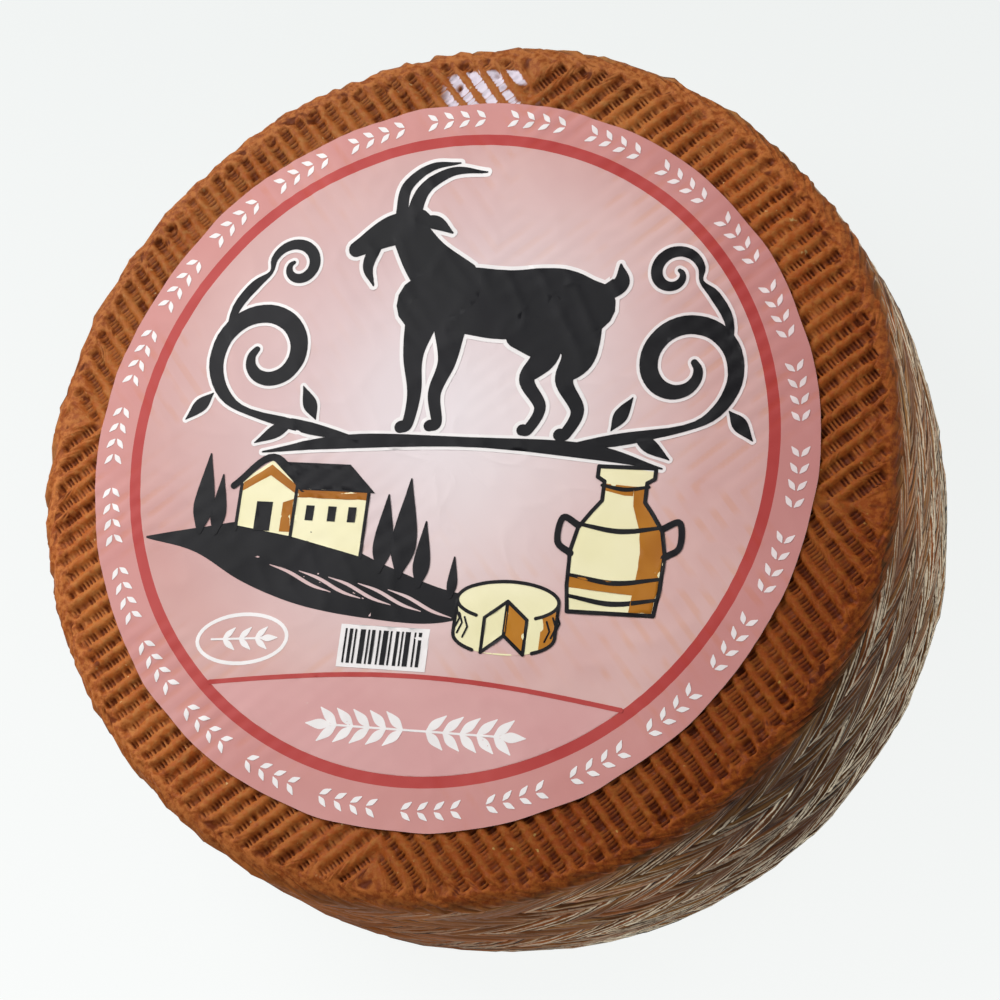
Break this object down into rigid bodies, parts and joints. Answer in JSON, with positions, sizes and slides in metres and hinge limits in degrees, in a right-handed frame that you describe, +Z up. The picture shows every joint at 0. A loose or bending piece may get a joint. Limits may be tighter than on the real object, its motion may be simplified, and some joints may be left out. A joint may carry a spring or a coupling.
{
  "type": "goat cheese wheel",
  "caption": "Whole wheel of hard goat's cheese with a plaited-belt print round its side, a ribbed top and base, and a round printed paper label.",
  "frame": {"origin": "centre of the wheel's flat base, where it stands on the table", "axes": "+Z up through the wheel's axis, +X towards the right of the label's picture, +Y towards its top"},
  "size_m": [0.2114, 0.2118, 0.0777],
  "materials": {
    "rind": "waxy brown pressed cheese rind",
    "label_paper": "satin printed paper"
  },
  "bodies": {
    "root": {"cheese_wheel": "rind", "paper_label": "label_paper"}
  },
  "joints": []
}
